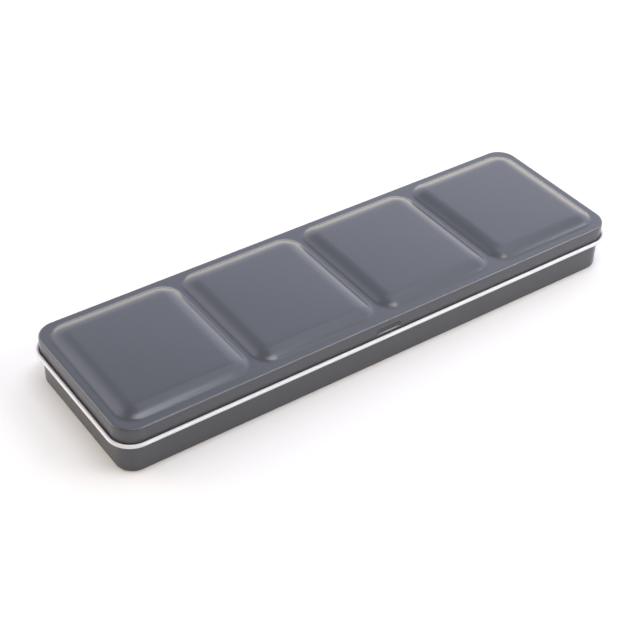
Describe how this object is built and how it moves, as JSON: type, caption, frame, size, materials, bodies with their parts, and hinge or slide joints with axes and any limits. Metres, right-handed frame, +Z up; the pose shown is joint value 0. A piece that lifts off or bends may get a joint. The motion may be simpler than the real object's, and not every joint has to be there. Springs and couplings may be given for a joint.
{
  "type": "watercolour paint set",
  "caption": "Slim hinged pressed-tin watercolour box: lid with raised mixing wells and a curled edge, base with a lift-out rack of sprung paint pans.",
  "frame": {"origin": "centre of the flat bottom, on the table", "axes": "+X along the length, to the right seen from the front; -Y towards the front with the snap dent; +Y towards the hinge; +Z up"},
  "size_m": [0.2182, 0.0672, 0.0219],
  "materials": {
    "grey_enamel": "satin baked enamel on tinplate",
    "white_enamel": "gloss white enamel on tinplate",
    "steel_wire": "drawn wire",
    "spring_steel": "rolled strip",
    "pan_plastic": "moulded white plastic",
    "paint_lemon_yellow": "dried watercolour cake",
    "paint_golden_yellow": "dried watercolour cake",
    "paint_orange": "dried watercolour cake",
    "paint_scarlet": "dried watercolour cake",
    "paint_crimson": "dried watercolour cake",
    "paint_violet": "dried watercolour cake",
    "paint_deep_blue": "dried watercolour cake",
    "paint_sky_blue": "dried watercolour cake",
    "paint_sea_green": "dried watercolour cake",
    "paint_sap_green": "dried watercolour cake",
    "paint_ochre": "dried watercolour cake",
    "paint_burnt_brown": "dried watercolour cake"
  },
  "bodies": {
    "base": {"base_tray": "grey_enamel", "pan_rack": "white_enamel", "hinge_leaf_left": "grey_enamel", "hinge_leaf_right": "grey_enamel", "spring_strip_front": "spring_steel", "spring_strip_rear": "spring_steel", "pan_front_1": "pan_plastic", "cake_front_1": "paint_lemon_yellow", "pan_front_2": "pan_plastic", "cake_front_2": "paint_golden_yellow", "pan_front_3": "pan_plastic", "cake_front_3": "paint_orange", "pan_front_4": "pan_plastic", "cake_front_4": "paint_scarlet", "pan_front_5": "pan_plastic", "cake_front_5": "paint_crimson", "pan_front_6": "pan_plastic", "cake_front_6": "paint_violet", "pan_rear_1": "pan_plastic", "cake_rear_1": "paint_deep_blue", "pan_rear_2": "pan_plastic", "cake_rear_2": "paint_sky_blue", "pan_rear_3": "pan_plastic", "cake_rear_3": "paint_sea_green", "pan_rear_4": "pan_plastic", "cake_rear_4": "paint_sap_green", "pan_rear_5": "pan_plastic", "cake_rear_5": "paint_ochre", "pan_rear_6": "pan_plastic", "cake_rear_6": "paint_burnt_brown"},
    "lid": {"lid": "grey_enamel", "hinge_pin_left": "steel_wire", "hinge_pin_right": "steel_wire"}
  },
  "joints": [
    {"name": "lid_hinge", "type": "hinge", "parent": "base", "child": "lid", "pos_m": [0, 0.0329, 0.0132], "axis": [-1, 0, 0], "range_deg": [0, 180]}
  ]
}
